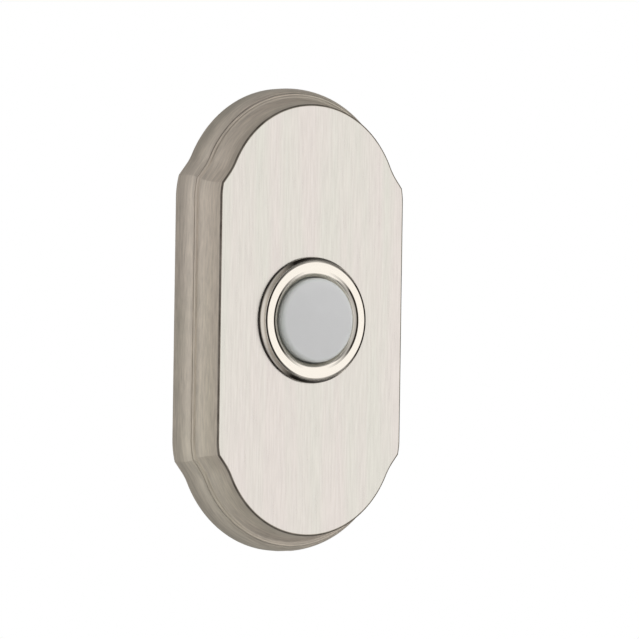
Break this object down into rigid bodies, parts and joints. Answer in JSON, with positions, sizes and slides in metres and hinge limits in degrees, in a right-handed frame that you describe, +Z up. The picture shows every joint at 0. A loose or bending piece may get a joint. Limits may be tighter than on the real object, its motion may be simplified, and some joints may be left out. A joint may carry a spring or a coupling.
{
  "type": "doorbell push button",
  "caption": "Lighted doorbell push button on an upright arch-ended plate with a moulded edge, polished ring and domed translucent button.",
  "frame": {"origin": "centre of the back on the wall plane, midway between the two wall screw holes", "axes": "+Z up, +X to the right seen from the front, +Y into the wall; the button is pushed along +Y"},
  "size_m": [0.0412, 0.0174, 0.0762],
  "materials": {
    "satin_nickel": "satin nickel plate, brushed upright, clear lacquered",
    "polished_nickel": "polished nickel plate",
    "black_rubber": "moulded rubber",
    "zinc_steel": "bright zinc plate",
    "turned_brass": "turned brass",
    "lit_cap": "translucent frosted plastic with a satin surface",
    "white_plastic": "moulded plastic",
    "contact_brass": "stamped brass, nickel flashed",
    "spring_steel": "plain steel",
    "black_plastic": "moulded phenolic",
    "board_laminate": "glass laminate board with green resist",
    "lamp_lens": "clear cast lens",
    "tinned_wire": "tinned wire",
    "resistor_lacquer": "lacquered body"
  },
  "bodies": {
    "fixed_unit": {"cover_plate": "satin_nickel", "bezel_ring": "polished_nickel", "bezel_gasket": "black_rubber", "lock_washer": "zinc_steel", "bezel_nut": "turned_brass", "return_spring": "spring_steel", "switch_housing": "black_plastic", "terminal_base": "black_plastic", "base_screws": "spring_steel", "contact_left": "contact_brass", "contact_right": "contact_brass", "terminal_screws": "contact_brass", "terminal_washers": "contact_brass", "circuit_board": "board_laminate", "led_lamp": "lamp_lens", "lamp_leads": "tinned_wire", "resistor": "resistor_lacquer", "board_links": "tinned_wire", "mounting_bracket": "zinc_steel", "set_screw": "spring_steel"},
    "push_button": {"button_cap": "lit_cap", "plunger": "white_plastic", "contact_bridge": "contact_brass"}
  },
  "joints": [
    {"name": "button_press", "type": "slide", "parent": "fixed_unit", "child": "push_button", "axis": [0, 1, 0], "range_m": [0, 0.0015], "stiffness_N_per_m": 700, "springref_m": -0.0015, "deforming": ["return_spring"]}
  ]
}
